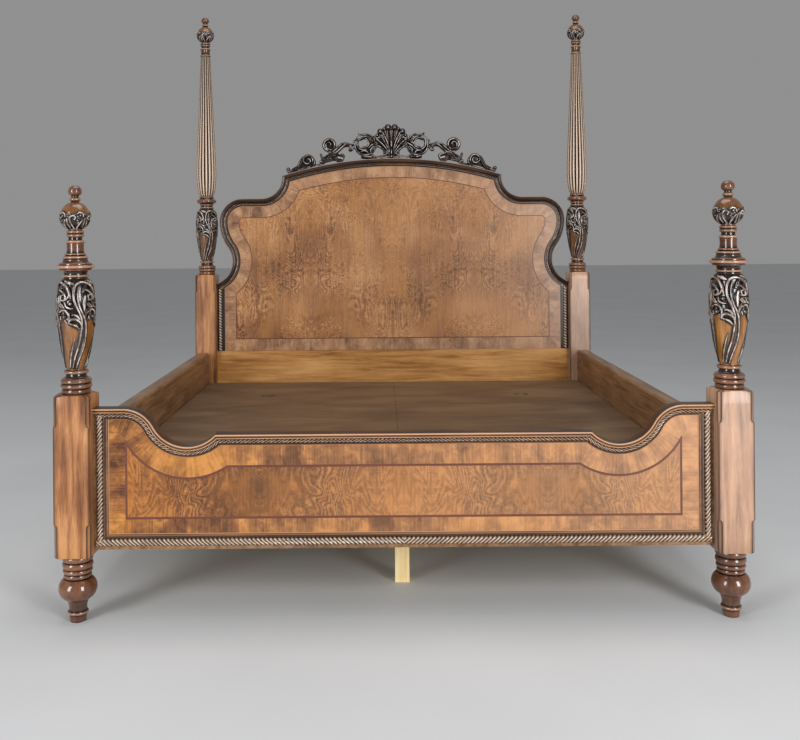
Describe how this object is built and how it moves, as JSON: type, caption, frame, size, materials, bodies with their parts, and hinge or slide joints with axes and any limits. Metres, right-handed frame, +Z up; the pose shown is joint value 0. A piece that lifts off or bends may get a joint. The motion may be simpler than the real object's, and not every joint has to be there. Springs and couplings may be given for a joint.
{
  "type": "poster bed",
  "caption": "Carved wooden four-poster bed frame with tall reeded head posts, short foot posts, arched headboard with openwork crest, and a slatted deck.",
  "frame": {"origin": "on the floor, under the centre of the bed's bounding box", "axes": "+Z up, +X across the bed to the right seen from the foot end, +Y from the foot end to the headboard"},
  "size_m": [2.1158, 2.2958, 2.3512],
  "materials": {
    "post_walnut": "satin lacquer over walnut stain, dark glaze in the carving",
    "headboard_veneer": "figured walnut veneer with a crossbanded border, satin",
    "footboard_veneer": "burl walnut veneer with a crossbanded border, satin",
    "carved_dark": "dark stain with rubbed highlights",
    "rope_moulding": "dark stain with rubbed highlights",
    "moulding_walnut": "dark walnut stain, satin",
    "rail_walnut": "walnut stain, satin",
    "lower_board_walnut": "walnut stain, satin",
    "deck_board": "dark stained plywood, matt",
    "pine": "bare pine, planed",
    "steel": "zinc-plated"
  },
  "bodies": {
    "root": {"barrel_nuts": "steel", "bed_bolts": "steel", "foot_finials": "post_walnut", "foot_post_left": "post_walnut", "foot_post_right": "post_walnut", "footboard_bead": "rope_moulding", "footboard_cap": "moulding_walnut", "footboard_panel": "footboard_veneer", "footboard_rope": "rope_moulding", "head_finials": "post_walnut", "head_post_left": "post_walnut", "head_post_right": "post_walnut", "head_shaft_left": "post_walnut", "head_shaft_right": "post_walnut", "headboard_cap": "moulding_walnut", "headboard_crest": "carved_dark", "headboard_lower_board": "lower_board_walnut", "headboard_panel": "headboard_veneer", "headboard_rope": "rope_moulding", "headboard_side_rope_left": "rope_moulding", "headboard_side_rope_right": "rope_moulding", "rail_ledger_left": "pine", "rail_ledger_right": "pine", "side_rail_left": "rail_walnut", "side_rail_right": "rail_walnut", "slat_1": "pine", "slat_2": "pine", "slat_3": "pine", "slat_4": "pine", "slat_5": "pine", "slat_leg_1": "pine", "slat_leg_2": "pine", "slat_leg_3": "pine", "slat_leg_4": "pine", "slat_leg_5": "pine"},
    "deck_left": {"deck_panel_left": "deck_board"},
    "deck_right": {"deck_panel_right": "deck_board"}
  },
  "joints": [
    {"name": "lift_out_left", "type": "slide", "parent": "root", "child": "deck_left", "axis": [0, 0, 1], "range_m": [0, 0.2]},
    {"name": "lift_out_right", "type": "slide", "parent": "root", "child": "deck_right", "axis": [0, 0, 1], "range_m": [0, 0.2]}
  ]
}
